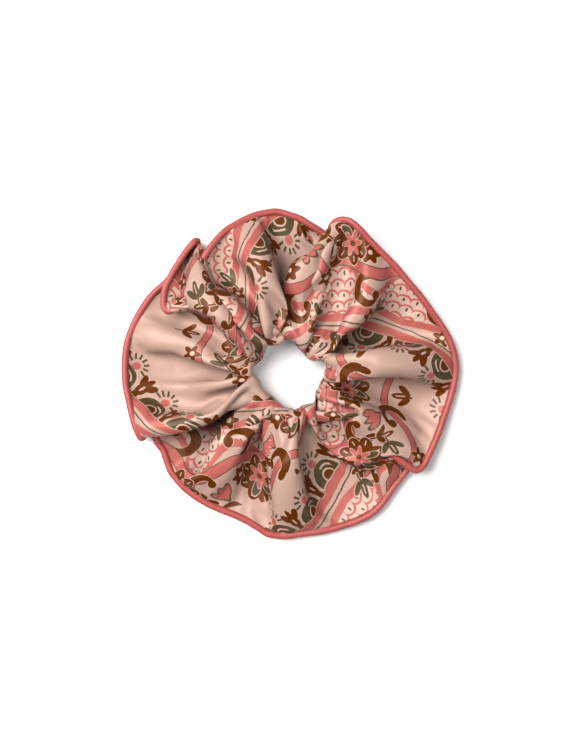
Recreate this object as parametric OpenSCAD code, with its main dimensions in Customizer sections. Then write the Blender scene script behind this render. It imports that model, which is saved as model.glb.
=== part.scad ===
// Piped satin scrunchie, lying flat. Millimetres, +Z up, origin on the table under the
// middle of the hole. The casing is one strip folded lengthwise into a tube and gathered
// on a loop of elastic; its outer seam is finished with a piping.

/* [Ring] */
// Radius of the hole that grips the hair
hole_r = 16; // [15:0.5:18]
// Height of the ring at its crown
crown_h = 27; // [24:1:30]
// Radius of the crown, the highest line of the ring
crown_r = 31; // [29:1:34]
// Height of the middle of the elastic above the table
channel_z = 11; // [10:0.5:12]

/* [Cloth] */
// Thickness of one ply of the casing
ply = 0.5; // [0.4:0.1:0.6]
// Width of the casing's seam allowance, turned inside
allowance = 8; // [6:1:10]
// Number of gathers drawn round the crown
gathers = 9; // [8:1:12]
// Half the height of a gather
gather_amp = 1.2; // [0:0.2:1.6]

/* [Piping] */
// Outside radius of the covered piping
piping_r = 1.5; // [1.4:0.1:1.6]
// Thickness of the piping's bias-cut cover
cover_ply = 0.3; // [0.25:0.05:0.35]
// Distance between stitches
stitch_pitch = 3; // [2.5:0.5:4]
// Radius of the sewing thread
thread_r = 0.15; // [0.1:0.05:0.15]

/* [Elastic] */
// Inside radius of the elastic loop
elastic_r = 18.5; // [18:0.1:18.7]
// Width of the elastic, which stands on edge
elastic_w = 6; // [5:0.5:6]
// Thickness of the elastic
elastic_t = 1.2; // [1:0.1:1.2]
// Angle over which the two ends of the elastic overlap
lap_deg = 34; // [30:1:40]

/* [Hidden] */

stations = 72;
step = 360 / stations;
// Radius of the outer seam line, every 15 degrees from +X towards +Y
lobe_r = [72, 70, 66, 66, 70, 69, 71.3, 71, 70, 70, 71, 72, 72, 71, 67, 68, 67, 70, 71.3, 70, 71, 68, 69, 71];
// Height of the outer seam line, every 30 degrees
edge_h = [5, 7, 6, 4, 4, 7, 5, 4, 6, 4, 4, 6];
seam_mean = 70;
// Half the height of the tube's inner edge, and how far the bore trims it
rim_half = 4.5;
bore_cut = 1;
// Wall of the skin, in plies, where it is measured upright or across the rim
slope_wall = 1.15;
rim_wall = 2.2;
// Underside of the ring, where it rests: its ends, and the height of its curl at the bore
floor_cut = 0.4;
floor_from = 6;
floor_to = 20;
curl_h = 2.2;
lip_step = 0.4;
lip_gap = 0.75;
fold_gap = 0.2;
slit = 0.05;
// Angle each side of the piping's flange that the round part of the cover leaves open
flange_deg = 14;
cord_r = piping_r - cover_ply - 0.05;
cord_out = piping_r + 0.2;
seam_in = 1.5;
piping_seam_in = 0.8;
closing_deg = 265;
// Share of the stitch pitch that shows, and half the length of a closing stitch
stitch_share = 0.7;
closing_half = 0.8;
closing_stitches = 13;
floor_stitches = 5;
join_rows = 4;

// Smooth closed curve through evenly spaced values
function blend(t) = t * t * (3 - 2 * t);
function round_value(list, a) =
    let (n = len(list), u = ((a % 360 + 360) % 360) * n / 360, i = floor(u))
    list[i % n] + (list[(i + 1) % n] - list[i % n]) * blend(u - i);
function seam_r(a) = round_value(lobe_r, a);
function seam_z(a) = round_value(edge_h, a);
function at(a, r, z) = [r * cos(a), r * sin(a), z];

// Outside of the upper ply, where u runs from the rim (0) to the seam (1)
crown_u = (crown_r - hole_r) / (seam_mean - hole_r);
function fade(u) = u < crown_u ? blend(u / crown_u) : pow(1 - (u - crown_u) / (1 - crown_u), 2);
function seam_top(a) = seam_z(a) + lip_gap + 2 * ply + fold_gap;
function upper_z(a, u) = u < crown_u
    ? channel_z + rim_half + (crown_h - channel_z - rim_half) * sin(90 * u / crown_u)
        + gather_amp * fade(u) * cos(gathers * a)
    : seam_top(a) + (crown_h - seam_top(a)) * pow(cos(90 * (u - crown_u) / (1 - crown_u)), 1.3)
        + gather_amp * fade(u) * cos(gathers * a);
function upper_r(a, u) = hole_r - bore_cut + (seam_r(a) - hole_r + bore_cut) * u;

// Upper ply, from the seam to the rim; inset moves it inwards by one wall
upper_us = [1, 0.93, 0.84, 0.72, 0.58, 0.44, 0.33, 0.24, 0.16, 0.08, 0.02];
function upper(a, inset) = [for (u = upper_us)
    let (r = upper_r(a, u) + (u < crown_u ? inset * (1 - u / crown_u) * rim_wall : 0))
    [u == 1 ? r - inset / 2 : r, upper_z(a, u) - inset * (u == 1 ? 1 : slope_wall)]];

// Lower ply, from the rim to the seam
function floor_z(inset) = inset > 0 ? inset : -floor_cut;
function lower(a, inset) = let (e = seam_z(a) - lip_gap - 2 * ply - fold_gap, s = seam_r(a))
    [[hole_r - bore_cut + inset * rim_wall, channel_z - rim_half],
     [hole_r + bore_cut + inset * rim_wall, curl_h + inset / 2],
     [hole_r + floor_from, floor_z(inset)],
     [s - floor_to, floor_z(inset)],
     [s - floor_to / 2, max(floor_cut, e / 3) + inset],
     [s - inset / 2, e + inset]];

// Section of the casing: upper lip, upper ply, lower ply, lower lip, then back inside
function casing_section(a) = let (s = seam_r(a), e = seam_z(a), back = s - allowance)
    concat([[back, e + lip_gap], [s, e + lip_gap]], upper(a, 0), lower(a, 0),
        [[s, e - lip_gap], [back, e - lip_gap], [back, e - lip_gap - ply],
         [s - lip_step, e - lip_gap - ply]],
        reversed(lower(a, ply)), reversed(upper(a, ply)),
        [[s - lip_step, e + lip_gap + ply], [back, e + lip_gap + ply]]);
function reversed(list) = [for (i = [len(list) - 1 : -1 : 0]) list[i]];

// Section of the piping's cover: round the cord, with both edges run inwards as a flange
function cover_section(a) = let (c = seam_r(a) + cord_out, e = seam_z(a),
        back = seam_r(a) - allowance, inner = piping_r - cover_ply)
    concat([[back, e + slit + cover_ply]],
        [for (t = [180 - flange_deg : -30 : flange_deg - 181])
            [c + piping_r * cos(t), e + piping_r * sin(t)]],
        [[back, e - slit - cover_ply], [back, e - slit]],
        [[c - inner, e - slit]],
        [for (t = [-150 : 30 : 150]) [c + inner * cos(t), e + inner * sin(t)]],
        [[c - inner, e + slit], [back, e + slit]]);

function cord_section(a) = [for (t = [0 : -45 : -315])
    [seam_r(a) + cord_out + cord_r * cos(t), seam_z(a) + cord_r * sin(t)]];

// Skins a closed ring of sections, all with the same number of points
module ring(sections) {
    n = len(sections);
    m = len(sections[0]);
    points = [for (i = [0 : n - 1], p = sections[i]) at(i * step, p[0], p[1])];
    faces = [for (i = [0 : n - 1], j = [0 : m - 1])
        let (a = i * m + j, b = i * m + (j + 1) % m, c = ((i + 1) % n) * m + (j + 1) % m,
            d = ((i + 1) % n) * m + j)
        each [[a, b, c], [a, c, d]]];
    polyhedron(points, faces);
}

// One straight length of thread
module rod(p, q, r) {
    d = q - p;
    translate(p)
        rotate([0, acos(d[2] / norm(d)), atan2(d[1], d[0])])
            cylinder(h = norm(d), r = r, $fn = 6);
}

// Stitches along the outer seam line, on one side of the plies, each with its leg
module seam_row(inward, side, level, leg) {
    count = floor(2 * PI * seam_mean / stitch_pitch);
    for (i = [0 : count - 1]) {
        a = i * 360 / count;
        b = a + 360 / count * stitch_share;
        z = side * (level + thread_r);
        p = at(a, seam_r(a) - inward, seam_z(a) + z);
        q = at(b, seam_r(b) - inward, seam_z(b) + z);
        rod(p, q, thread_r);
        if (leg > 0) translate([p[0], p[1], min(p[2], p[2] - side * leg)])
            cylinder(h = leg, r = thread_r, $fn = 6);
    }
}

module fabric_casing() {
    color([0.90, 0.74, 0.66]) difference() {
        ring([for (i = [0 : stations - 1]) casing_section(i * step)]);
        cylinder(h = 3 * crown_h, r = hole_r, center = true, $fn = 96);
        translate([-100, -100, -10]) cube([200, 200, 10]);
    }
}

module piping_cover() {
    color([0.85, 0.42, 0.42]) ring([for (i = [0 : stations - 1]) cover_section(i * step)]);
}

module piping_cord() {
    color([0.95, 0.94, 0.90]) ring([for (i = [0 : stations - 1]) cord_section(i * step)]);
}

// One strip of elastic whose end runs outside its beginning
module elastic_band() {
    lift = elastic_t + 0.02;
    ramp = 12;
    turn = 360 + lap_deg;
    function band_r(a) = elastic_r + lift * blend(max(0, min(1, (a - 360 + ramp) / ramp)));
    inner = [for (a = [0 : 4 : turn]) at(a, band_r(a), 0)];
    outer = [for (a = [0 : 4 : turn]) at(a, band_r(a) + elastic_t, 0)];
    color([0.93, 0.91, 0.87]) translate([0, 0, channel_z - elastic_w / 2])
        linear_extrude(elastic_w)
            polygon([for (p = concat(inner, reversed(outer))) [p[0], p[1]]]);
}

// Rows of stitches through both plies of the elastic's lap
module elastic_join_thread() {
    reach = 2 * elastic_t + 0.5;
    color([0.97, 0.96, 0.93])
        for (row = [1 : join_rows], z = [-2 : 1 : 2]) {
            a = row * lap_deg / (join_rows + 1);
            rod(at(a, elastic_r - 0.2, channel_z + z), at(a, elastic_r + reach, channel_z + z), thread_r);
        }
}

module edge_seam_needle_thread() {
    color([0.80, 0.38, 0.38]) seam_row(seam_in, 1, lip_gap + ply, 2 * (lip_gap + ply) + 0.1);
}

module edge_seam_bobbin_thread() {
    color([0.80, 0.38, 0.38]) seam_row(seam_in, -1, lip_gap + ply, 0);
}

module piping_seam_thread() {
    color([0.80, 0.38, 0.38]) seam_row(piping_seam_in, 1, slit + cover_ply + 0.02, 0);
}

// Ladder of short stitches that closes the tube's ends, over the top and underneath
module closing_seam_thread() {
    color([0.88, 0.70, 0.62]) {
        for (i = [0 : closing_stitches - 1]) {
            u = 0.12 + 0.8 * i / (closing_stitches - 1);
            r = upper_r(closing_deg, u);
            w = closing_half * 180 / PI / r;
            rod(at(closing_deg - w, r, upper_z(closing_deg - w, u)),
                at(closing_deg + w, r, upper_z(closing_deg + w, u)), thread_r);
        }
        for (i = [0 : floor_stitches - 1]) {
            r = hole_r + 9 + 6 * i;
            w = closing_half * 180 / PI / r;
            rod(at(closing_deg - w, r, 2 * thread_r), at(closing_deg + w, r, 2 * thread_r), thread_r);
        }
    }
}

fabric_casing();
piping_cover();
piping_cord();
elastic_band();
elastic_join_thread();
edge_seam_needle_thread();
edge_seam_bobbin_thread();
piping_seam_thread();
closing_seam_thread();
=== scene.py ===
"""Looks of the piped satin scrunchie. The casing is a tube of cloth that a small cloth solver, below,
gathers onto the elastic while its outer seam is led along the line in which the piping lies. The piping,
cord and stitching are then built along that seam. The solver works in millimetres, Blender in metres."""

import math

import bpy
import numpy as np
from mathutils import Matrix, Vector


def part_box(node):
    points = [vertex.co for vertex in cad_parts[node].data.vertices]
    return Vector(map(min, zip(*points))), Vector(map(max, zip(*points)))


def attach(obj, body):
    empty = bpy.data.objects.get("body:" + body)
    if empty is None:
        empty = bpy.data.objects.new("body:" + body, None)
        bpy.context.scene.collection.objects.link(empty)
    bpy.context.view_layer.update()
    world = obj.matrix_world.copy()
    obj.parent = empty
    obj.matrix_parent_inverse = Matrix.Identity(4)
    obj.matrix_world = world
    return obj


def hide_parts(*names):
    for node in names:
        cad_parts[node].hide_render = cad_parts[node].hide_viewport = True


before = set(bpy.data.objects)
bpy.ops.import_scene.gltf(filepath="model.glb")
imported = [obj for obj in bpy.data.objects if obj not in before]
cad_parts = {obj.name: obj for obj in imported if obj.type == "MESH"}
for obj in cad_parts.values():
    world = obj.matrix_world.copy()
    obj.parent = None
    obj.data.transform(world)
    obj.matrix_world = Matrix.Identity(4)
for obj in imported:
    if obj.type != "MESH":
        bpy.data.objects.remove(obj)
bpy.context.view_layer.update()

MM = 0.001
TUBE_WIDTH = 60.0  # flat width of the folded tube, from its fold to the middle of the piping
PIPING_R = 1.5
LIP = 1.4  # how far from the middle of the piping the casing's cloth starts
ALLOWANCE = 8.0  # seam allowance, inwards from the lip
THREAD_R = 0.15
STITCH_PITCH = 3.0
ELASTIC_T = 1.2  # the elastic's thickness in the CAD

# Middle of the piping, x, y and z, anticlockwise from the closing seam
ROUTE = [
    # bottom, then up to the first double fold
    (-10, -72, 3), (-2.5, -73, 3), (5, -72, 3), (13, -71, 3), (21.5, -69, 3), (30.5, -66, 3.5),
    (37, -62.5, 4), (41.5, -58, 4), (45, -53, 4), (49, -47.5, 4), (52.5, -43, 4.2), (52.5, -39, 5),
    (49, -35.5, 5.5), (44, -32.5, 6), (38.5, -30, 7), (34.5, -29, 8.2), (33, -31, 9.8), (36, -33, 10.5),
    (41, -34.3, 10.5), (47, -37, 10.5), (52, -40.5, 10), (56, -43, 9.2), (59.5, -41.5, 8.2),
    # right side, up to the peak
    (62.5, -36, 7), (66.5, -27, 6), (69.5, -18.5, 5), (72, -11, 4.5), (74, -3, 4.5), (74.5, 4, 5),
    (73, 12, 6), (69.5, 19.5, 7), (64, 27.5, 8), (58.5, 35, 9), (52.5, 42, 10), (47, 48.5, 11),
    (41, 54.5, 12), (35.5, 60, 13), (31.5, 64.5, 13.5), (27.5, 68.2, 13), (23.5, 69.5, 11.5),
    # under the peak, and over the top
    (20, 68.5, 9.5), (18, 65.5, 8), (18.5, 62, 7), (21, 60, 6), (21.5, 59, 4.8), (18, 61, 4),
    (13.5, 64.5, 4), (8, 68, 4), (4, 70.5, 4), (-0.5, 72, 4), (-6, 73.5, 4), (-11, 73, 4.5),
    (-17, 71.5, 5.5), (-24, 68, 7), (-30, 64, 8.5), (-36, 57, 10), (-39.5, 51.5, 10.5), (-41.5, 46, 11),
    # the turned-over fold at the upper left
    (-44.5, 40.5, 11.5), (-47.5, 35.5, 12), (-50.5, 31.5, 12.2), (-54.5, 28.2, 12), (-57, 31, 10.5),
    (-56.5, 38, 9), (-54, 44, 8.5), (-50.5, 50, 8), (-46.5, 56, 7.5), (-43, 60, 6.8), (-42, 59.5, 4.5),
    (-45.5, 54.5, 3.5), (-50, 48.5, 3.2), (-54, 44, 3),
    # left side, its tucked end, and back to the seam
    (-58, 40, 3), (-62.5, 36, 3), (-67.5, 29, 3.2), (-71.5, 21, 3.8), (-74, 13, 4.5), (-74.7, 5, 5),
    (-74.4, -4, 6), (-73, -11, 7), (-71, -19.5, 8), (-69, -25.5, 8.5), (-67, -28.8, 7.8), (-65.5, -26, 6),
    (-64.6, -21, 5.2), (-63.6, -19, 4), (-62.6, -22, 3), (-61.5, -27, 2.6), (-60, -31, 2.4),
    (-57.5, -34.5, 2.4), (-56, -39, 2.5), (-54, -44, 2.7), (-50.5, -48.5, 3), (-46.5, -52.5, 3),
    (-40, -57, 3), (-33, -60.5, 3), (-26.5, -63, 3), (-20, -66, 3), (-14.5, -69.3, 3),
]
# Lines along which the upper ply is tucked down or stands up, x and y
CREASES = [
    [(-70, 10), (-55, 9), (-37, 10), (-27, 12)], [(2, 56), (0, 44), (-1, 32), (-4, 19)],
    [(8, 60), (5, 50), (3, 38)], [(8, 38), (8, 25), (9, 17)],
    [(23, 57), (22, 45), (24, 30), (21, 20), (17, 13)],
    [(20, -4), (35, -8), (45, -10), (60, -8), (71, -11)], [(11, -20), (19, -30), (27, -36)],
    [(-10, -20), (-13, -38), (-13, -52), (-12, -66)],
    [(-19, -12), (-29, -22), (-42, -29), (-60, -33)], [(-20, -20), (-28, -32), (-33, -38)],
]
RIDGES = [
    [(-14, 56), (-11, 40), (-9, 24)], [(13, 45), (12, 30), (11, 20)], [(32, 48), (34, 30), (28, 18)],
    [(62, 2), (45, 5), (28, 4)], [(52, -24), (38, -22), (24, -18)], [(6, -24), (0, -40), (-7, -58)],
    [(-18, -24), (-22, -40), (-28, -50)], [(-60, -6), (-40, -3), (-24, 0)],
    [(-44, 30), (-32, 24), (-18, 16)],
]
# Radius of the hole every 10 degrees from +X towards +Y
HOLE_R = [14, 16, 17, 10, 8.5, 9, 10, 12, 13.5, 15, 15, 14, 14.5, 17, 14, 13.5, 15.5, 17,
          17, 13.5, 14, 14, 12.5, 12.5, 12.5, 13.5, 15, 15, 15.5, 14.5, 15, 16.5, 14.5, 12.5, 12, 13.5]


# ---------------------------------------------------------------- the cloth solver, in millimetres
COARSE, FINE = (224, 40), (384, 64)  # rows round the ring and columns round the tube
STEPS, QUICK_STEPS = (150, 200), (40, 0)  # on the coarse grid and on the fine one
SWITCH = 0.55  # share of the gathering that the coarse grid does
PLY_GAPS = (2.0, 1.45)  # how far apart layers of cloth stay, on each grid
SPEEDS = (0.8, 0.5)  # the furthest that a point drifts in one step, on each grid
FRICTION = 0.9  # share of its speed that a point keeps from step to step
GRAVITY = 0.02
PUFF = 0.05  # pressure that keeps the tube open
TUCK = 0.13  # strength of the creases and ridges
CREASE_Z, RIDGE_Z, FADE = 8, 26, 4  # creases fade out down to the first height, ridges up to the second
BEND = 0.045  # strength of the links that resist bending
WRAP_FROM, WRAP_STEP = 0.55, 0.3  # from this share on, the plies are lifted round the elastic in steps
SEAM_ZONE = 10  # this far from the seam the plies are held together
OPENING = 0.6  # how far they open there, for each millimetre from the seam
START_Z = 6.0
START_SWELL = (9.6, -3.6)  # how far the upper and the lower ply bulge at the start
START_WAVES = ((7, 0.5), (13, 2.0), (17, 1.2), (23, 0.5))  # waves round the ring, and their height
FLOOR_Z = 0.4
FOLD_HALF = 3.2  # this much cloth each side of the inner fold lies inside the elastic
# The inner fold stays this far inside the ring, this near the hole's edge, and this near the ring's height
FOLD_CLEAR, FOLD_DEPTH, FOLD_RISE = 0.7, 2.5, 3.5
CLEAR_R, CLEAR_Z = 0.9, 1.1  # how far the solver keeps the cloth off the elastic
MAP_HALF = 85  # half the width of the fold map
WATCH = 1.2  # pairs of points up to this much more than the ply gap apart are watched
ROOM, HEADROOM = 250.0, 60.0  # width and height of the space in which pairs are looked for


def roomy(values):
    """A copy of values with spare memory on both sides. Where a result comes to lie right beside its
    values, numpy works out powers, sines and the like in another way, and their last digit differs."""
    spare = 8
    room = np.zeros(values.size + 2 * spare)
    room[spare:-spare] = values.ravel()
    return room[spare:-spare].reshape(values.shape)


def closed_spline(points, n):
    """n evenly spaced points on a smooth closed curve through points, and the curve's length"""
    p = np.array(points, float)
    t = roomy(np.linspace(0, 1, 24, endpoint=False))[None, :, None]
    a, b, c, d = (np.roll(p, s, 0)[:, None] for s in (1, 0, -1, -2))
    curve = b + 0.5 * ((c - a) * t + (2 * a - 5 * b + 4 * c - d) * t**2
                       + (3 * b - a - 3 * c + d) * t**3)
    curve = np.vstack([curve.reshape(-1, 3), p[:1]])
    along = np.concatenate([[0], np.cumsum(np.linalg.norm(np.diff(curve, axis=0), axis=1))])
    at = np.linspace(0, along[-1], n, endpoint=False)
    return np.stack([np.interp(at, along, curve[:, k]) for k in range(3)], 1), along[-1]


def distance_to(lines, x, y):
    best = np.full(x.shape, 1e9)
    for line in lines:
        for (x0, y0), (x1, y1) in zip(line, line[1:]):
            dx, dy = x1 - x0, y1 - y0
            t = np.clip(((x - x0) * dx + (y - y0) * dy) / (dx * dx + dy * dy), 0, 1)
            best = np.minimum(best, np.hypot(x - x0 - t * dx, y - y0 - t * dy))
    return best


def fold_map():
    """Upward pull on the upper ply for each square millimetre: down in creases, up on ridges"""
    g = np.arange(-MAP_HALF, MAP_HALF + 1.0)
    x, y = np.meshgrid(g, g, indexing="ij")
    return (0.5 * np.exp(-(distance_to(RIDGES, x, y) / 6) ** 2)
            - np.exp(-(distance_to(CREASES, x, y) / 2.5) ** 2))


def ease(t):
    t = min(max(t, 0.0), 1.0)
    return t * t * (3 - 2 * t)


class Tube:
    """Cloth as a grid that closes both ways: rows run round the ring and columns round the tube.
    Column 0 is the outer seam, and the columns up to the middle one are the upper ply."""

    def __init__(self, rows, columns, length):
        self.rows, self.columns, self.n = rows, columns, rows * columns
        self.step = length / rows
        self.gap = 2 * TUBE_WIDTH / columns
        self.i, self.j = np.divmod(np.arange(self.n), columns)
        self.depth = np.minimum(self.j, columns - self.j)
        self.share = self.depth / (columns / 2)
        self.side = np.where(self.j <= columns // 2, 1.0, -1.0)
        self.seam = np.arange(rows) * columns
        self.free = (self.j != 0) * 1.0
        self.links = []
        self.add_links()

    def link(self, di, dj, strength, keep=True, least=False):
        """Holds points di rows and dj columns apart at their flat distance, or at least that far"""
        rest = math.hypot(di * self.step, dj * self.gap)
        stride, place = (di, self.i) if di else (dj, self.j)
        colour = place // abs(stride) % 2
        for c in (0, 1):
            a = np.nonzero(keep & (colour == c))[0]
            b = (self.i[a] + di) % self.rows * self.columns + (self.j[a] + dj) % self.columns
            weight = strength / np.maximum(self.free[a] + self.free[b], 1)
            self.links.append((a, b, rest, weight * self.free[a], weight * self.free[b], least))

    def add_links(self):
        """Threads both ways, weak diagonals, and longer links that only push, against bending"""
        j, last = self.j, self.columns - 1
        self.link(1, 0, 1.0)
        self.link(0, 1, 1.0)
        self.link(1, 1, 0.2)
        self.link(1, -1, 0.2)
        self.link(2, 0, 0.12, least=True)
        self.link(0, 2, 0.12, keep=j != last, least=True)
        self.link(max(3, round(7 / self.step)), 0, BEND, least=True)
        self.link(max(3, round(14 / self.step)), 0, BEND / 2, keep=self.share < 0.6, least=True)
        reach = max(3, round(7 / self.gap))
        self.link(0, reach, 0.5, keep=j == 0, least=True)
        self.link(0, -reach, 0.5, keep=j == 0, least=True)
        self.link(0, reach, 0.05, keep=(j > 0) & (j < self.columns - reach), least=True)

    def normals(self, x):
        g = x.reshape(self.rows, self.columns, 3)
        n = np.cross(np.roll(g, -1, 0) - np.roll(g, 1, 0), np.roll(g, -1, 1) - np.roll(g, 1, 1))
        n = n.reshape(-1, 3)
        return n / (np.linalg.norm(n, axis=1)[:, None] + 1e-9)

    def near_pairs(self, x, apart):
        """Pairs of points that aren't neighbours in the cloth but lie close in space"""
        cell = apart + WATCH
        low = np.array([-ROOM / 2, -ROOM / 2, -2 * cell])
        dims = np.ceil(np.array([ROOM, ROOM, HEADROOM]) / cell).astype(int) + 3
        q = np.clip(np.floor((x - low) / cell).astype(np.int64), 1, dims - 2)
        key = (q[:, 0] * dims[1] + q[:, 1]) * dims[2] + q[:, 2]
        order = np.argsort(key, kind="stable")
        key = key[order]
        start = np.concatenate([[0], np.cumsum(np.bincount(key, minlength=dims.prod() + 1))])
        rank = np.arange(self.n)
        found = []
        for dx, dy in ((0, 0), (0, 1), (1, -1), (1, 0), (1, 1)):
            base = key + (dx * dims[1] + dy) * dims[2]
            first = rank + 1 if (dx, dy) == (0, 0) else start[base - 1]
            count = np.maximum(start[base + 2] - first, 0)
            a = np.repeat(rank, count)
            b = np.repeat(first, count) + np.arange(len(a)) - np.repeat(np.cumsum(count) - count, count)
            d = x[order[a]] - x[order[b]]
            close = (d * d).sum(1) < cell * cell
            found.append((order[a[close]], order[b[close]]))
        a, b = (np.concatenate(side) for side in zip(*found))
        di = np.abs(self.i[a] - self.i[b])
        di = np.minimum(di, self.rows - di)
        dj = np.abs(self.j[a] - self.j[b])
        dj = np.minimum(dj, self.columns - dj)
        keep = np.hypot(di * self.step, dj * self.gap) > 1.3 * apart
        a, b, di = a[keep], b[keep], di[keep]
        rest = apart + 0.5 * (self.j[a] == 0) + 0.5 * (self.j[b] == 0)
        # beside the seam the two plies start from one line
        cloth = (self.depth[a] + self.depth[b]) * self.gap
        rest = np.where((di * self.step < 4) & (cloth < 12), rest * np.clip(cloth / 12, 0.15, 1), rest)
        total = np.maximum(self.free[a] + self.free[b], 1)
        return a, b, rest, self.free[a] / total, self.free[b] / total


def hold_links(tube, x):
    for a, b, rest, wa, wb, least in tube.links:
        d = x[b] - x[a]
        length = np.sqrt(np.einsum("ij,ij->i", d, d)) + 1e-9
        pull = (length - rest) / length
        if least:
            pull = np.minimum(pull, 0)
        x[a] += (pull * wa)[:, None] * d
        x[b] -= (pull * wb)[:, None] * d


def push_apart(tube, x, pairs):
    a, b, rest, wa, wb = pairs
    d = x[b] - x[a]
    square = np.einsum("ij,ij->i", d, d)
    hit = np.nonzero(square < rest * rest)[0]
    a, b, d, rest, wa, wb = (v[hit] for v in (a, b, d, rest, wa, wb))
    length = np.sqrt(square[hit]) + 1e-9
    push = ((rest - length) / length)[:, None] * d
    both = np.concatenate([a, b])
    moves = np.concatenate([-push * wa[:, None], push * wb[:, None]])
    share = np.maximum(1, np.bincount(both, minlength=tube.n) * 0.5)
    for k in range(3):
        x[:, k] += np.bincount(both, weights=moves[:, k], minlength=tube.n) / share


def hold_seam(tube, x, upper, lower, room):
    """Beside the seam, keeps the upper ply over the lower one and close to it"""
    seam = x[tube.seam]
    along = np.roll(seam, -1, 0) - np.roll(seam, 1, 0)
    copies = (len(room) // tube.rows, 1)
    inward = (x[upper] + x[lower]) / 2 - np.tile(seam, copies)
    up = np.cross(np.tile(along, copies), inward)
    up /= np.linalg.norm(up, axis=1)[:, None] + 1e-9
    gap = ((x[upper] - x[lower]) * up).sum(1)
    move = 0.5 * (np.clip(gap, 0.35 * room, room) - gap)[:, None] * up
    x[upper] += move
    x[lower] -= move


def order_plies(x, upper, lower, gap=1.0, cell=2.0, cells=90):
    """Keeps the lower ply under the upper one, in each upright column of space"""
    def column(points):
        q = np.clip(((x[points, :2] + cell * (cells // 2 - 1)) / cell).astype(int), 0, cells - 1)
        return q[:, 0] * cells + q[:, 1]

    over, under = column(upper), column(lower)
    floor, roof = np.full(cells * cells, 1e3), np.full(cells * cells, -1e3)
    np.minimum.at(floor, over, x[upper, 2])
    np.maximum.at(roof, under, x[lower, 2])
    wrong = floor < roof + gap
    middle = np.maximum((floor + roof) / 2, (1 + gap) / 2)
    hit = wrong[over]
    rise = middle[over[hit]] + gap / 2 - x[upper[hit], 2]
    x[upper[hit], 2] += 0.5 * np.maximum(0, rise)
    hit = wrong[under]
    drop = x[lower[hit], 2] - middle[under[hit]] + gap / 2
    x[lower[hit], 2] -= 0.5 * np.maximum(0, drop)


class Ring:
    """The elastic as the solver meets it: a ring that shrinks from start to its real radius"""

    def __init__(self, start):
        low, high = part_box("elastic_band")
        self.start = start
        self.inside = -low[0] / MM - ELASTIC_T
        self.z = (low[2] + high[2]) / 2 / MM
        self.half_z = (high[2] - low[2]) / 2 / MM + CLEAR_Z
        self.half_r = (high[0] / MM - self.inside) / 2 + CLEAR_R
        self.hole = np.array(HOLE_R + HOLE_R[:1], float)

    def radius(self, u):
        return self.start + (self.inside - self.start) * min(1.0, u / 0.8)

    def wrap(self, x, fold, side, radius):
        """Brings the upper ply over the ring and the lower ply under it"""
        dr = (np.hypot(x[:, 0], x[:, 1]) - radius) / self.half_r - 1 + CLEAR_R / self.half_r
        room = self.half_z * np.sqrt(np.maximum(0, 1 - dr**2))
        short = np.where(fold | (room == 0) | (side == 0), 0, room - side * (x[:, 2] - self.z))
        x[:, 2] += side * np.clip(short, 0, WRAP_STEP)

    def hold(self, x, fold, radius):
        """Keeps the inner fold inside the ring, other cloth off it, and the hole and table clear"""
        r = np.hypot(x[:, 0], x[:, 1]) + 1e-9
        middle = radius + self.half_r - CLEAR_R
        dr, dz = r - middle, x[:, 2] - self.z
        far = np.hypot(dr / self.half_r, dz / self.half_z) + 1e-9
        push = np.where((far < 1) & ~fold, 1 / far - 1, 0.0)
        x[:, 2] += dz * push
        turn = np.degrees(np.arctan2(x[:, 1], x[:, 0])) % 360 / 360 * len(HOLE_R)
        hole = np.interp(turn, np.arange(len(self.hole)), self.hole) + radius - self.inside
        inner = np.minimum(r, np.minimum(radius - FOLD_CLEAR, hole + FOLD_DEPTH))
        out = np.where(fold, inner, r + dr * push)
        x[:, :2] *= (np.maximum(out, hole) / r)[:, None]
        x[fold, 2] = np.clip(x[fold, 2], self.z - FOLD_RISE, self.z + FOLD_RISE)
        x[:, 2] = np.maximum(x[:, 2], FLOOR_Z)


def upright_part(tube, end):
    """The points whose ply keeps its side: where the piping runs backwards the tube is turned over"""
    along = np.roll(end, -1, 0) - np.roll(end, 1, 0)
    forward = end[:, 0] * along[:, 1] - end[:, 1] * along[:, 0] > 0
    margin = max(2, int(5 / tube.step))
    forward = np.all([np.roll(forward, k) for k in range(-margin, margin + 1)], axis=0)
    return forward[tube.i] | (tube.share > 0.55)


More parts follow.
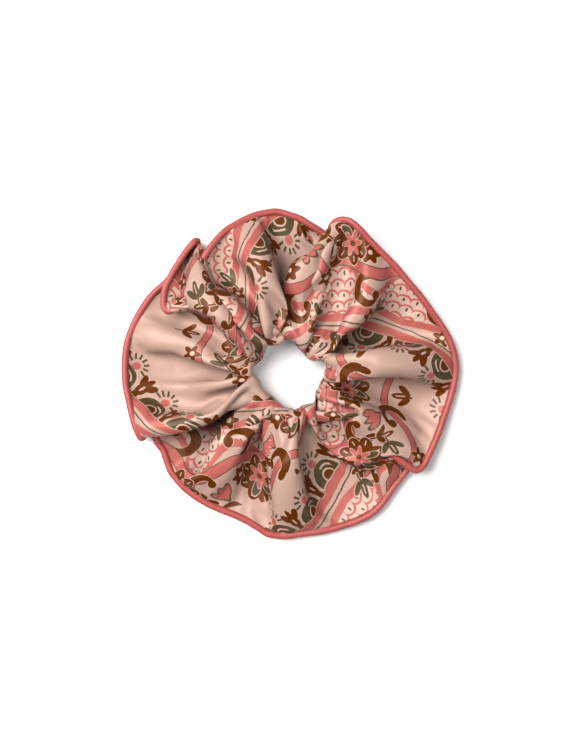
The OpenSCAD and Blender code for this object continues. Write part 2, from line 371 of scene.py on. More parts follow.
def gather_stage(tube, x, shares, seam_at, ring, apart, speed):
    """Moves the cloth through these shares of the gathering"""
    half = tube.columns // 2
    fold = np.abs(tube.j - half) * tube.gap < FOLD_HALF
    puffed = np.clip((tube.share - 0.12) * 3, 0, 1) * (tube.share < 0.9)
    puffed *= np.where(tube.side > 0, 1.0, 0.6)
    pull_map = fold_map()
    beside = range(1, int(SEAM_ZONE / tube.gap) + 1)
    seam_upper = np.concatenate([tube.seam + j for j in beside])
    seam_lower = np.concatenate([tube.seam + tube.columns - j for j in beside])
    seam_room = np.repeat([j * tube.gap * OPENING for j in beside], tube.rows)
    upright = upright_part(tube, seam_at(1.0))
    tucked = upright & (tube.side > 0) & (tube.share > 0.08) & (tube.share < 0.95)
    ordered = upright & (tube.share > 0.1) & (tube.share < 0.86)
    upper, lower = (np.nonzero(ordered & (tube.side == side))[0] for side in (1.0, -1.0))
    velocity = np.zeros_like(x)
    for count, u in enumerate(shares):
        velocity *= FRICTION
        velocity[:, 2] -= GRAVITY
        pressure = PUFF * (1.0 if u < 0.85 else 0.6)
        velocity -= (pressure * puffed)[:, None] * tube.normals(x)
        place = np.clip((x[:, :2] + MAP_HALF).astype(int), 0, 2 * MAP_HALF)
        pull = pull_map[place[:, 0], place[:, 1]] * tucked
        down, up = np.clip((x[:, 2] - CREASE_Z) / FADE, 0, 1), np.clip((RIDGE_Z - x[:, 2]) / FADE, 0, 1)
        pull *= np.where(pull < 0, down, up)
        velocity[:, 2] += TUCK * min(max((u - 0.3) / 0.3, 0), 1) * pull
        velocity *= np.minimum(1, speed / (np.linalg.norm(velocity, axis=1) + 1e-9))[:, None]
        before = x.copy()
        x += velocity
        if count % 3 == 0:
            pairs = tube.near_pairs(x, apart)
        for _ in range(3):
            hold_links(tube, x)
            hold_seam(tube, x, seam_upper, seam_lower, seam_room)
            push_apart(tube, x, pairs)
            x[tube.seam] = seam_at(u)
            if u > WRAP_FROM:
                ring.wrap(x, fold, tube.side, ring.radius(u))
            ring.hold(x, fold, ring.radius(u))
        order_plies(x, upper, lower)
        velocity = x - before
    return x


def resample(grid, n, axis):
    """A closed grid with n smooth steps along one axis"""
    count = grid.shape[axis]
    at = np.arange(n) * count / n
    i = np.floor(at).astype(int)
    shape = [1, 1, 1]
    shape[axis] = n
    t = roomy(at - i).reshape(shape)
    a, b, c, d = (np.take(grid, (i + k) % count, axis) for k in (-1, 0, 1, 2))
    return b + 0.5 * ((c - a) * t + (2 * a - 5 * b + 4 * c - d) * t**2 + (3 * b - a - 3 * c + d) * t**3)


def refine(grid, rows, columns):
    """The cloth with more rows and columns; the crease at the seam stays sharp"""
    grid = resample(grid, rows, 0)
    count = grid.shape[1]
    at = np.arange(columns) * count / columns
    i = np.floor(at).astype(int)
    t = (at - i)[None, :, None]
    straight = np.take(grid, i, 1) * (1 - t) + np.take(grid, (i + 1) % count, 1) * t
    beside_seam = (np.minimum(at, count - at) < 1.01)[None, :, None]
    return np.where(beside_seam, straight, resample(grid, columns, 1))


def smoothed(grid):
    """Takes the smallest wrinkles out, away from the seam"""
    around = sum(np.roll(grid, shift, axis) for shift in (-1, 1) for axis in (0, 1)) / 4
    inside = np.minimum(np.arange(grid.shape[1]), grid.shape[1] - np.arange(grid.shape[1])) > 1
    return np.where(inside[None, :, None], grid + 0.5 * (around - grid), grid)


def gathered_cloth():
    """The gathered tube as rows by columns of points, and the length of its seam"""
    rows, columns = COARSE
    route, length = closed_spline(ROUTE, rows)
    radius = length / (2 * math.pi)

    def even_turns(route):
        """Evenly spaced angles, which on average are those of the route's points"""
        turn = np.unwrap(np.arctan2(*(roomy(route[:, k]) for k in (1, 0))))
        even = 2 * math.pi * np.arange(len(route)) / len(route)
        return roomy(even + (turn - even).mean())

    def leader(route):
        """Leads the seam from a circle of its full length to the route"""
        even = even_turns(route)
        start = np.stack([radius * np.cos(even), radius * np.sin(even), np.full(len(even), START_Z)], 1)
        return lambda u: start + (route - start) * ease(u / 0.7)

    tube = Tube(rows, columns, length)
    ring = Ring(radius - 0.9 * TUBE_WIDTH)
    share = tube.share.reshape(rows, columns)
    side = tube.side.reshape(rows, columns)
    turn = even_turns(route)[:, None]
    r = radius + (ring.start - 2 - radius) * share
    swell = np.where(side > 0, *START_SWELL) * np.sin(roomy(math.pi * share))
    phases = np.random.default_rng(1).uniform(0, 2 * math.pi, len(START_WAVES))
    s = np.arange(rows)[:, None] / rows
    waves = sum(height * np.cos(roomy(2 * math.pi * count * s + phase))
                for (count, height), phase in zip(START_WAVES, phases))
    z = START_Z + (ring.z - START_Z) * share + swell + waves * share
    x = np.stack([r * np.cos(turn), r * np.sin(turn), np.maximum(z, 0.5)], 2).reshape(-1, 3)
    coarse_steps, fine_steps = STEPS
    shares = np.linspace(0, SWITCH if fine_steps else 1, coarse_steps)
    x = gather_stage(tube, x, shares, leader(route), ring, PLY_GAPS[0], SPEEDS[0])
    cloth = refine(x.reshape(rows, columns, 3), *FINE)
    if fine_steps:
        tube = Tube(*FINE, length)
        route, _ = closed_spline(ROUTE, FINE[0])
        shares = np.linspace(SWITCH, 1, fine_steps)
        x = gather_stage(tube, cloth.reshape(-1, 3), shares, leader(route), ring, PLY_GAPS[1], SPEEDS[1])
        cloth = x.reshape(*FINE, 3)
    return smoothed(cloth), length


# ---------------------------------------------------------------- pieces
ROWS, COLUMNS = 736, 124  # the casing's mesh


def unit(v):
    return v / (np.linalg.norm(v, axis=-1, keepdims=True) + 1e-9)


def new_object(name, mesh, uv=None):
    if uv is not None:
        layer = mesh.uv_layers.new(name="cloth")
        layer.data.foreach_set("uv", uv.ravel().astype(np.float32))
    mesh.shade_smooth()
    obj = bpy.data.objects.new(name, mesh)
    bpy.context.scene.collection.objects.link(obj)
    return obj


def skin(name, points, uv_size, closed=False):
    """A mesh over a grid of points in millimetres that closes along its rows, and along its columns
    too when closed. Its UVs are the cloth's own lengths in metres."""
    rows, columns = points.shape[:2]
    across = columns if closed else columns - 1
    i, j = (k.ravel() for k in np.meshgrid(np.arange(rows), np.arange(across), indexing="ij"))
    corners = [(i, j), (i + 1, j), (i + 1, j + 1), (i, j + 1)]
    faces = np.stack([a % rows * columns + b % columns for a, b in corners], 1)
    mesh = bpy.data.meshes.new(name)
    mesh.from_pydata((points.reshape(-1, 3) * MM).tolist(), [], faces.tolist())
    uv = np.stack([np.stack([a * (uv_size[0] / rows), b * (uv_size[1] / across)], 1)
                   for a, b in corners], 1)
    return new_object(name, mesh, uv)


def rods(name, starts, ends, radius, sides=6, blunt=0.4):
    """Short lengths of thread between points in millimetres; blunt is the size of their rounded tips"""
    axis = unit(ends - starts)
    side = unit(np.cross(axis, np.array([0.31, 0.12, 0.94])))
    turn = (np.arange(sides) * 2 * math.pi / sides)[None, :, None]
    ring = side[:, None] * np.cos(turn) + np.cross(axis, side)[:, None] * np.sin(turn)
    layers = [starts[:, None] + axis[:, None] * radius * blunt + ring * radius * blunt,
              starts[:, None] + axis[:, None] * radius + ring * radius,
              ends[:, None] - axis[:, None] * radius + ring * radius,
              ends[:, None] - axis[:, None] * radius * blunt + ring * radius * blunt]
    points = np.stack(layers, 1).reshape(-1, 3)
    faces = []
    for base in range(0, len(points), 4 * sides):
        for a in range(base, base + 3 * sides, sides):
            faces += [(a + s, a + (s + 1) % sides, a + sides + (s + 1) % sides, a + sides + s)
                      for s in range(sides)]
        faces.append(tuple(range(base + sides - 1, base - 1, -1)))
        faces.append(tuple(range(base + 3 * sides, base + 4 * sides)))
    mesh = bpy.data.meshes.new(name)
    mesh.from_pydata((points * MM).tolist(), [], faces)
    return new_object(name, mesh)


class Seam:
    """The outer seam, as the other pieces follow it: rows of points on and beside its line"""

    def __init__(self, cloth, rows):
        self.cloth = resample(cloth, rows, 0)
        self.gap = 2 * TUBE_WIDTH / cloth.shape[1]
        self.line = self.cloth[:, 0]
        self.along = unit(np.roll(self.line, -1, 0) - np.roll(self.line, 1, 0))
        inward = unit(self.between(4.0) - self.line)
        for _ in range(8):
            inward = unit(np.roll(inward, 1, 0) + 2 * inward + np.roll(inward, -1, 0))
        self.inward = unit(inward - (inward * self.along).sum(1)[:, None] * self.along)
        self.up = np.cross(self.along, self.inward)

    def ply(self, distance, side):
        """The upper (1) or lower (-1) ply at a distance along the cloth from the seam's line"""
        j, t = int(distance / self.gap), distance / self.gap % 1
        return (1 - t) * self.cloth[:, side * j] + t * self.cloth[:, side * (j + 1)]

    def between(self, distance, towards=0.0):
        """Between the plies: 1 is on the upper one, -1 on the lower one"""
        upper, lower = self.ply(distance, 1), self.ply(distance, -1)
        return (upper + lower) / 2 + towards * (upper - lower) / 2


def clear_elastic(points, gap=0.4):
    """Moves any cloth that lies within a gap of the elastic over or under it"""
    low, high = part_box("elastic_band")
    bottom, top = low[2] / MM - gap, high[2] / MM + gap
    inside, outside = -low[0] / MM - ELASTIC_T - gap, high[0] / MM + gap
    r = np.hypot(points[..., 0], points[..., 1])
    z = points[..., 2]
    hit = (r > inside) & (r < outside) & (z > bottom) & (z < top)
    over = np.arange(points.shape[1]) < points.shape[1] / 2
    points[..., 2] = np.where(hit, np.where(over[None], top, bottom), z)


def lay_casing(cloth, length):
    """The casing's cloth: from its upper seam allowance, out to the lip at the piping, round the
    inner fold, back to the lower lip, and in along the lower allowance"""
    fine = refine(cloth, ROWS, COLUMNS)
    clear_elastic(fine)
    seam = Seam(cloth, ROWS)
    reach = LIP / (2 * TUBE_WIDTH / COLUMNS)
    lips = [fine[:, 0] + reach / 2 * (fine[:, 2 * side] - fine[:, 0]) for side in (1, -1)]
    # the allowance's distances from the seam's line, and how near it lies to its own ply
    turned_in = [(LIP + ALLOWANCE, 0.3), (LIP + 4, 0.3), (LIP + 0.8, 0.4)]
    upper = [seam.between(distance, towards) for distance, towards in turned_in]
    lower = [seam.between(distance, -towards) for distance, towards in reversed(turned_in)]
    strip = upper + [lips[0]] + [fine[:, j] for j in range(2, COLUMNS - 1)] + [lips[1]] + lower
    strip = np.stack(strip, 1)
    # the closing seam, which runs across the casing, lies in a slight groove
    outward = unit(np.cross(np.roll(strip, -1, 0) - strip, np.roll(strip, -1, 1) - strip))
    s = np.minimum(np.arange(ROWS), ROWS - np.arange(ROWS)) * length / ROWS
    depth, half_width = 0.5, 0.9
    groove = depth * np.exp(-(s / half_width) ** 2)
    middle = np.arange(4, strip.shape[1] - 4)
    strip[:, middle] -= groove[:, None, None] * outward[:, middle]
    return skin("casing", strip, (length * MM, (strip.shape[1] - 1) * 2 * TUBE_WIDTH / COLUMNS * MM))


def lay_piping(seam, length):
    """The piping's cover: wrapped round the cord, with its two edges between the plies"""
    rows = len(seam.line)
    s = (np.arange(rows) * length / rows)[:, None]
    turn = np.radians(np.linspace(-158, 158, 17))[None, :]
    # the two ends of the bias strip overlap on a slant at the closing seam
    ends = (s - PIPING_R * np.sin(turn) + length / 2) % length - length / 2
    size = 1 + 0.015 * np.sin(1.9 * s) + 0.012 * np.sin(0.83 * s + 1) + 0.10 * np.exp(-(ends / 1.6) ** 2)
    radius = PIPING_R * size[..., None]
    ring = seam.line[:, None] + radius * (np.sin(turn)[..., None] * seam.up[:, None]
                                          - np.cos(turn)[..., None] * seam.inward[:, None])
    edges = [[seam.between(LIP + d, side * 0.1) for d in (ALLOWANCE - 0.6, 3.0, 0.5)]
             for side in (-1, 1)]
    strip = np.concatenate([np.stack(edges[0], 1), ring, np.stack(edges[1][::-1], 1)], 1)
    cut_width = 0.022
    return skin("piping", strip, (length * MM, cut_width))


def lay_cord(seam, length):
    """Three twisted strands of cotton inside the piping"""
    rows = len(seam.line)
    s = (np.arange(rows) * length / rows)[:, None]
    turn = (np.arange(12) * 2 * math.pi / 12)[None, :]
    twist_pitch = 9
    turns = round(length / twist_pitch)
    radius = 1.02 + 0.12 * np.abs(np.cos(1.5 * (turn - 2 * math.pi * turns * s / length)))
    points = seam.line[:, None] + radius[..., None] * (np.sin(turn)[..., None] * seam.up[:, None]
                                                       - np.cos(turn)[..., None] * seam.inward[:, None])
    girth = 0.007
    return skin("cord", points, (length * MM, girth), closed=True)


def stitch_row(name, points, length, phase=0.0):
    """A row of stitches along a closed line of points"""
    count = int(length / STITCH_PITCH)
    at = (np.arange(count) + phase) * len(points) / count
    closed = np.vstack([points, points[:1]])
    position = np.arange(len(closed))

    def place(where):
        return np.stack([np.interp(where % len(points), position, closed[:, k]) for k in range(3)], 1)

    return rods(name, place(at), place(at + 0.72 * len(points) / count), THREAD_R)


def closing_stitches(cloth):
    """Ladder stitches across the closing seam on both plies"""
    gap = 2 * TUBE_WIDTH / cloth.shape[1]
    columns = np.arange(4 / gap, cloth.shape[1] - 4 / gap, STITCH_PITCH / gap)
    columns = columns[np.abs(columns - cloth.shape[1] / 2) * gap > 8]
    low = columns.astype(int)
    t = (columns - low)[:, None]
    ends = []
    for row in (-1, 1):
        near = 0.5 * (cloth[0] + cloth[row])
        ends.append((1 - t) * near[low] + t * near[low + 1])
    return rods("closing_stitches", ends[0], ends[1], 0.12)


# ---------------------------------------------------------------- materials
class Value:
    """A number in a node tree; arithmetic on it adds Math nodes"""

    def __init__(self, tree, socket):
        self.tree, self.socket = tree, socket

    def op(self, kind, *others):
        node = self.tree.nodes.new("ShaderNodeMath")
        node.operation = kind
        for socket, value in zip(node.inputs, (self, *others)):
            if isinstance(value, Value):
                self.tree.links.new(value.socket, socket)
            else:
                socket.default_value = value
        return Value(self.tree, node.outputs[0])

    def __add__(self, other):
        return self.op("ADD", other)

    def __sub__(self, other):
        return self.op("SUBTRACT", other)

    def __mul__(self, other):
        return self.op("MULTIPLY", other)

    def __truediv__(self, other):
        return self.op("DIVIDE", other)

    def __neg__(self):
        return self * -1.0

    def __and__(self, other):
        """Where both shapes are"""
        return self.op("MAXIMUM", other)

    def __or__(self, other):
        """Where either shape is"""
        return self.op("MINIMUM", other)

    def __abs__(self):
        return self.op("ABSOLUTE")

    def sine(self, period):
        return (self * (2 * math.pi / period)).op("SINE")

    def every(self, period, at=0.0):
        """The offset from the nearest of a row of places a period apart"""
        return (self - at).op("WRAP", period / 2, -period / 2)


def add_node(tree, kind, **inputs):
    node = tree.nodes.new(kind)
    for name, value in inputs.items():
        socket = node.inputs[name]
        if isinstance(value, Value):
            tree.links.new(value.socket, socket)
        else:
            socket.default_value = value
    return node


def noise(tree, place, scale, detail=2.0):
    node = add_node(tree, "ShaderNodeTexNoise", Vector=place, Scale=scale, Detail=detail)
    return Value(tree, node.outputs["Fac"])


# Shapes, as the distance in millimetres outside their edge
def radius_of(x, y):
    return (x * x + y * y).op("SQRT")


def disc(x, y, r):
    return radius_of(x, y) - r


def turned(x, y, degrees):
    c, s = math.cos(math.radians(degrees)), math.sin(math.radians(degrees))
    return x * c + y * s, y * c - x * s


def oval(x, y, a, b, degrees=0):
    if degrees:
        x, y = turned(x, y, degrees)
    return (radius_of(x / a, y / b) - 1.0) * min(a, b)


def rosette(x, y, petals, r, depth, phase=0.0):
    turn = y.op("ARCTAN2", x) * petals + phase
    return radius_of(x, y) - (turn.op("COSINE") * depth + r)


def outline(shape, width):
    return abs(shape) - width / 2


class Print:
    """A printed colour, built by laying one shape over another"""

    def __init__(self, tree, ground):
        self.tree, self.colour, self.limit = tree, ground, None

    def lay(self, shape, colour, halo=0.0):
        if halo:
            self.lay(shape - halo, CREAM)
        if self.limit:
            shape = shape & self.limit
        mask = shape * -4.0 + 0.5
        mask.socket.node.use_clamp = True
        mix = self.tree.nodes.new("ShaderNodeMix")
        mix.data_type = "RGBA"
        self.tree.links.new(mask.socket, mix.inputs["Factor"])
        if isinstance(self.colour, Value):
            self.tree.links.new(self.colour.socket, mix.inputs["A"])
        else:
            mix.inputs["A"].default_value = (*self.colour, 1)
        mix.inputs["B"].default_value = (*colour, 1)
        self.colour = Value(self.tree, mix.outputs["Result"])


GROUND = (0.332, 0.224, 0.184)
PINK = (0.295, 0.088, 0.076)
OLIVE = (0.066, 0.046, 0.021)
BROWN = (0.088, 0.022, 0.0004)
CREAM = (0.375, 0.268, 0.220)
CORAL = (0.285, 0.067, 0.060)
COTTON = (0.84, 0.80, 0.72)
# The print's rows cross the cloth at this many degrees, and at these places in millimetres
PRINT_TURN = 57
PRINT_ROWS = [-82, 3, 93, 168, 272, 344]
ROW_LEAD, ROW_SHIFT = 21.0, 13.0  # a row's half discs reach this far ahead; each row is shifted along
REPEAT = 41.0  # the motifs repeat along a row; the half discs twice as often


def cloth_place(tree):
    """The cloth's own coordinates in millimetres, and as a vector in metres"""
    uv = tree.nodes.new("ShaderNodeUVMap")
    uv.uv_map = "cloth"
    place = Value(tree, uv.outputs["UV"])
    parts = add_node(tree, "ShaderNodeSeparateXYZ", Vector=place)
    return Value(tree, parts.outputs["X"]) * 1000.0, Value(tree, parts.outputs["Y"]) * 1000.0, place


def new_material(name, roughness, sheen=0.0):
    material = bpy.data.materials.new(name)
    material.use_nodes = True
    tree = material.node_tree
    shader = tree.nodes["Principled BSDF"]
    shader.inputs["Roughness"].default_value = roughness
    shader.inputs["Sheen Weight"].default_value = sheen
    shader.inputs["Sheen Roughness"].default_value = 0.35
    shader.inputs["Specular IOR Level"].default_value = 0.34
    return material, tree, shader


def satin_finish(tree, shader, u, v, place, pitch, wrinkle):
    """Satin weave as fine ribs, small uneven wrinkles, and a gloss that varies a little"""
    rib = u.sine(pitch) * v.sine(2 * pitch)
    height = rib * 0.2 + noise(tree, place, 260.0, 3.0) * wrinkle
    bump = add_node(tree, "ShaderNodeBump", Strength=0.4, Distance=0.00012, Height=height)
    tree.links.new(bump.outputs["Normal"], shader.inputs["Normal"])
    gloss = noise(tree, place, 90.0) * 0.16 + (shader.inputs["Roughness"].default_value - 0.08)
    tree.links.new(gloss.socket, shader.inputs["Roughness"])


def sprig(art, x, y, degrees, colour=OLIVE):
    """Three pointed leaves on a stem"""
    x, y = turned(x, y, degrees)
    half = abs(x)
    leaves = oval(half - 2.5, y - 0.4, 1.3, 3.3, -38) | oval(half, y - 2.0, 1.4, 3.8)
    art.lay(leaves | half - 0.4 & abs(y + 3.0) - 2.6, colour, halo=0.3)
    art.lay(half - 0.25 & abs(y - 2.0) - 2.0, CREAM)


def curl(art, x, y, size, colour, halo=0.3):
    """A hooked tendril: a tapering arc that ends in a bud"""
    arc = abs(disc(x, y, 4.6 * size)) - (x * 0.14 + 1.25 * size)
    arc = arc & (y * 0.8 - x * 0.6) - 2.4 * size
    tip = oval(x - 1.1 * size, y - 4.5 * size, 3.0 * size, 1.45 * size, -22)
    art.lay(arc | tip | disc(x + 3.6 * size, y + 1.4 * size, 1.7 * size), colour, halo)


def floret(art, x, y, petals=6, r=3.6):
    art.lay(rosette(x, y, petals, r, 1.0), BROWN, halo=0.3)
    art.lay(disc(x, y, 1.1), CREAM)


def plume(art, x, y, degrees):
    """Three outlined petals side by side"""
    x, y = turned(x, y, degrees)
    petals = oval(abs(x) - 2.5, y, 1.3, 3.2, -24) | oval(x, y + 0.6, 1.4, 4.0)
    art.lay(petals - 0.45, OLIVE)
    art.lay(petals, PINK)


def border_row(art, t, q):
    """Half discs with rings, tulips between them, and a dot with rays on each half disc"""
    row, between, height = q.every(REPEAT / 2), q.every(REPEAT / 2, REPEAT / 4), -t
    art.lay(disc(row, t, 7.4) & t, OLIVE, halo=0.4)
    arc = outline(disc(row - 0.6, t, 5.0), 0.8)
    art.lay(arc & abs(row - 2.2) - 2.6 & t, CREAM)
    art.lay(disc(row, t + 0.6, 3.2) & t, CREAM)
    art.lay(disc(row, t + 0.6, 2.5) & t, BROWN)
    half = abs(between)
    petals = oval(half - 2.4, height - 7.6, 1.6, 3.3, -32) | oval(half, height - 8.6, 1.2, 3.2)
    art.lay(petals | oval(half, height - 4.6, 2.3, 3.4) | half - 1.3 & abs(height - 1.6) - 2.2, BROWN,
            halo=0.3)
    art.lay(oval(half, height - 4.8, 0.5, 1.6), CREAM)
    rise = height - 9.0
    turn = row.op("ARCTAN2", rise)
    spoke = abs(turn.every(math.radians(30))) * radius_of(row, rise) - 0.48
    art.lay(spoke & abs(radius_of(row, rise) - 4.3) - 1.3 & (abs(turn) - 1.8) * 4.0, OLIVE)
    art.lay(disc(row, rise, 1.8), PINK)


def scale_field(art, t, p, q):
    """Patches of fish scales with seeds, in a broad edge, and motifs between the patches"""
    patch = abs(t - 18.5 - q.sine(REPEAT) * 2.5) - (q.sine(REPEAT) * 4.0 + 8.0)
    art.lay(patch, CREAM)
    width, height = 6.2, 4.6
    odd = (p / height).op("FLOOR").op("FLOORED_MODULO", 2.0)
    x, y = (q + odd * (width / 2)).every(width), p.op("FLOORED_MODULO", height)
    art.lay(outline(disc(x, y - 0.4, 3.5), 0.95) & patch + 0.6, PINK)
    art.lay(oval(x, y - 1.8, 0.5, 0.95) & patch + 1.2, OLIVE)
    art.lay(outline(patch, 3.4), PINK)
    art.lay(abs(t - 2.0) - 2.0, PINK)
    art.lay(abs(t - 5.8) - 0.3, OLIVE)
    floret(art, q.every(REPEAT, 30), t - 9.5, 5, 3.4)
    curl(art, q.every(REPEAT, 34), t - 21.0, 1.25, BROWN)
    sprig(art, q.every(REPEAT, 24), t - 13.0, 40)


def blossoms(art, t, q):
    """Large blossoms with a leaf, and florets, tendrils and a ribbon between them"""
    ribbon = abs(t - 31.0 - q.sine(REPEAT) * 3.0)
    art.lay(ribbon - 2.7, OLIVE)
    art.lay(ribbon - 2.25, PINK)
    plume(art, q.every(REPEAT, 24), t - 43.0, 150)
    curl(art, -q.every(REPEAT, 15), t - 38.0, 1.15, BROWN)
    floret(art, q.every(REPEAT, 34), t - 37.0, 6, 4.4)
    sprig(art, q.every(REPEAT, 16), t - 48.0, -30, BROWN)
    x, y = q.every(REPEAT, 3), t - 42.0
    turn = y.op("ARCTAN2", x)
    art.lay(radius_of(x, y) - abs((turn * 4.0).op("COSINE")) * 2.8 - 7.6, BROWN, halo=0.4)
    art.lay(abs(turn.every(math.radians(45))) * 7.0 - 0.22 & abs(radius_of(x, y) - 7.8) - 1.1, CREAM)
    art.lay(oval(x + 2.9, y - 3.2, 1.7, 3.6, 35) | oval(x - 2.7, y - 3.4, 1.6, 3.2, -35), OLIVE, halo=0.3)
    art.lay(rosette(x - 0.3, y + 1.6, 6, 3.7, 1.5, 0.6), PINK, halo=0.4)
    art.lay(disc(x - 0.3, y + 1.6, 1.2), BROWN)


def vine(art, t, q):
    """A wavy ribbon with leaves, tendrils and plumes after the blossoms"""
    wave = q.sine(REPEAT) * 4.0
    art.lay(abs(t - 59.0 - wave) - 1.9, OLIVE)
    art.lay(abs(t - 59.0 - wave) - 1.5, PINK)
    curl(art, q.every(REPEAT, 26), t - 55.0, 1.1, BROWN)
    sprig(art, q.every(REPEAT, 12), t - 52.5, 55)
    sprig(art, q.every(REPEAT, 36), t - 66.0, 200, BROWN)
    floret(art, q.every(REPEAT, 8), t - 65.0, 5, 3.2)


def printed_satin():
    material, tree, shader = new_material("printed_satin", 0.39, sheen=0.03)
    u, v, place = cloth_place(tree)
    drift = add_node(tree, "ShaderNodeTexNoise", Vector=place, Scale=130.0, Detail=1.0)
    drift = add_node(tree, "ShaderNodeSeparateXYZ", Vector=Value(tree, drift.outputs["Color"]))
    wander = 1.8  # millimetres by which the print's edges are uneven
    du = u + Value(tree, drift.outputs["X"]) * wander
    dv = v + Value(tree, drift.outputs["Y"]) * wander
    p, q = turned(du, dv, -PRINT_TURN)
    t, shifted = p - PRINT_ROWS[0], q
    for last, this in zip(PRINT_ROWS, PRINT_ROWS[1:]):
        beyond = p.op("GREATER_THAN", this - ROW_LEAD)
        t, shifted = t - beyond * (this - last), shifted + beyond * ROW_SHIFT
    art = Print(tree, GROUND)
    scale_field(art, t, p, shifted)
    blossoms(art, t, shifted)
    # the third and fourth rows are too close for a vine between them
    art.limit = -(abs(p - 155.0) - 18.0)
    vine(art, t, shifted)
    art.limit = None
    border_row(art, t, shifted)
    shade = noise(tree, place, 35.0) * 0.16 + 0.92
    tint = add_node(tree, "ShaderNodeVectorMath", Vector=art.colour)
    tint.operation = "SCALE"
    tree.links.new(shade.socket, tint.inputs["Scale"])
    tree.links.new(tint.outputs["Vector"], shader.inputs["Base Color"])
    satin_finish(tree, shader, u, v, place, 0.5, 1.0)
    shader.inputs["Anisotropic"].default_value = 0.45
    shader.inputs["Specular IOR Level"].default_value = 0.29
    shader.inputs["Specular Tint"].default_value = (1.0, 0.84, 0.74, 1)
    tangent = tree.nodes.new("ShaderNodeTangent")
    tangent.direction_type, tangent.uv_map = "UV_MAP", "cloth"
    tree.links.new(tangent.outputs["Tangent"], shader.inputs["Tangent"])
    return material


def two_tone(tree, shader, factor, colour, dark, bright):
    ramp = add_node(tree, "ShaderNodeValToRGB", Fac=factor)
    for element, gain in zip(ramp.color_ramp.elements, (dark, bright)):
        element.color = (*(min(1.0, gain * c) for c in colour), 1)
    tree.links.new(ramp.outputs["Color"], shader.inputs["Base Color"])


def bias_satin():
    material, tree, shader = new_material("piping_satin", 0.40, sheen=0.15)
    u, v, place = cloth_place(tree)
    two_tone(tree, shader, noise(tree, place, 220.0, 3.0), CORAL, 0.86, 1.14)
    satin_finish(tree, shader, u + v, v - u, place, 0.6, 2.0)
    return material


def spun(name, colour, scale=900.0):
    """Spun thread or cord: a fine diagonal twist, with shade painted into its grooves"""
    material, tree, shader = new_material(name, 0.65, sheen=0.3)
    place = Value(tree, tree.nodes.new("ShaderNodeTexCoord").outputs["Object"])
    twist = add_node(tree, "ShaderNodeTexWave", Vector=place, Scale=scale, Distortion=2.0)
    twist.bands_direction = "DIAGONAL"
    twist = Value(tree, twist.outputs["Fac"])
    # painted shade: the colour is darker where the twist's relief is low, in its grooves
    two_tone(tree, shader, twist, colour, 0.78, 1.0)
    bump = add_node(tree, "ShaderNodeBump", Strength=0.5, Distance=0.0001, Height=twist)
    tree.links.new(bump.outputs["Normal"], shader.inputs["Normal"])
    return material


def braided_elastic():
    """Knitted elastic: ribs along the band, crossed by fine stitches"""
    material, tree, shader = new_material("elastic", 0.7, sheen=0.3)
    place = Value(tree, tree.nodes.new("ShaderNodeTexCoord").outputs["Object"])
    parts = add_node(tree, "ShaderNodeSeparateXYZ", Vector=place)
    x, y, z = (Value(tree, parts.outputs[k]) for k in "XYZ")
    along = y.op("ARCTAN2", x) * 19.0
    rib = (z * 1000.0).sine(0.75)
    stitch = (along + rib * 0.25).sine(0.6)
    height = rib * 0.6 + stitch * rib * 0.4
    # painted shade and highlight: the colour is darker between the ribs and lighter on their tops
    two_tone(tree, shader, height * 0.4 + 0.5, COTTON, 0.72, 1.08)
    bump = add_node(tree, "ShaderNodeBump", Strength=0.8, Distance=0.0002, Height=height)
    tree.links.new(bump.outputs["Normal"], shader.inputs["Normal"])
    return material


# ---------------------------------------------------------------- the scene
def add_piece(obj, material, slot, *nodes):
    obj.data.materials.append(material)
    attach(obj, "cover")
    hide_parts(*nodes)
    return obj


def paint_node(name, material):
    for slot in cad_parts[name].material_slots:
        slot.material = material


def add_light(name, size, power, place):
    lamp = bpy.data.lights.new(name, "AREA")
    lamp.shape, lamp.size, lamp.energy = "DISK", size, power
    obj = bpy.data.objects.new(name, lamp)
    obj.location = place
    obj.rotation_euler = (-Vector(place)).to_track_quat("-Z", "Y").to_euler()
    bpy.context.scene.collection.objects.link(obj)


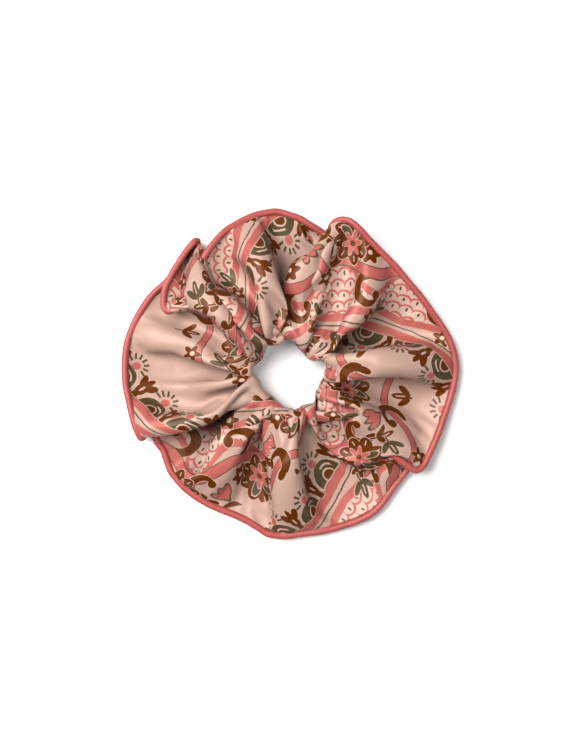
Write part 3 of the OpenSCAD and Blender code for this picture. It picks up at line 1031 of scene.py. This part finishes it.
def add_studio():
    mesh = bpy.data.meshes.new("floor")
    half = 1.5
    corners = [(-half, -half, 0), (half, -half, 0), (half, half, 0), (-half, half, 0)]
    mesh.from_pydata(corners, [], [(0, 1, 2, 3)])
    floor = new_object("floor", mesh)
    material, tree, shader = new_material("floor", 0.9)
    place = Value(tree, tree.nodes.new("ShaderNodeTexCoord").outputs["Object"])
    two_tone(tree, shader, noise(tree, place, 12.0), (0.74, 0.73, 0.725), 0.99, 1.0)
    mesh.materials.append(material)
    add_light("key", 1.4, 59.0, (-0.72, 0.45, 1.23))
    add_light("fill", 1.3, 18.0, (0.80, -0.60, 1.30))
    world = bpy.data.worlds.new("studio")
    world.use_nodes = True
    background = world.node_tree.nodes["Background"]
    background.inputs["Color"].default_value = (1, 1, 1, 1)
    background.inputs["Strength"].default_value = 0.10
    bpy.context.scene.world = world
    bpy.context.scene.view_settings.view_transform = "Standard"
    bpy.context.scene.view_settings.gamma = 0.84


def add_camera():
    """Straight down, from far enough away that there is hardly any perspective"""
    lens = bpy.data.cameras.new("camera")
    lens.sensor_fit = "VERTICAL"
    lens.sensor_height, lens.lens = 24, 85
    camera = bpy.data.objects.new("camera", lens)
    view_height, view_z = 0.340, 0.008
    camera.location = (0.0002, -0.0016, view_height * lens.lens / lens.sensor_height + view_z)
    bpy.context.scene.collection.objects.link(camera)
    bpy.context.scene.camera = camera


add_camera()
add_studio()

cloth, seam_length = gathered_cloth()
seam = Seam(cloth, ROWS)
seam_thread = spun("seam_thread", (0.57, 0.105, 0.10))
cord = add_piece(lay_cord(seam, seam_length), spun("cotton_cord", COTTON, 500.0), "cotton_cord",
                 "piping_cord")
piping = add_piece(lay_piping(seam, seam_length), bias_satin(), "piping_satin", "piping_cover")
needle = add_piece(stitch_row("edge_needle_stitches", seam.between(LIP + 2, 0.4), seam_length),
                   seam_thread, "seam_thread", "edge_seam_needle_thread")
bobbin = add_piece(stitch_row("edge_bobbin_stitches", seam.between(LIP + 2, -0.4), seam_length, 0.5),
                   seam_thread, "seam_thread", "edge_seam_bobbin_thread")
inner = add_piece(stitch_row("piping_stitches", seam.between(LIP + 1.2), seam_length, 0.25),
                  seam_thread, "seam_thread", "piping_seam_thread")
closing = add_piece(closing_stitches(cloth), spun("closing_thread", (0.71, 0.42, 0.32)),
                    "closing_thread", "closing_seam_thread")
casing = add_piece(lay_casing(cloth, seam_length), printed_satin(), "printed_satin", "fabric_casing")
seam_length * MM
paint_node("elastic_band", braided_elastic())
paint_node("elastic_join_thread", spun("white_thread", (0.88, 0.86, 0.80)))
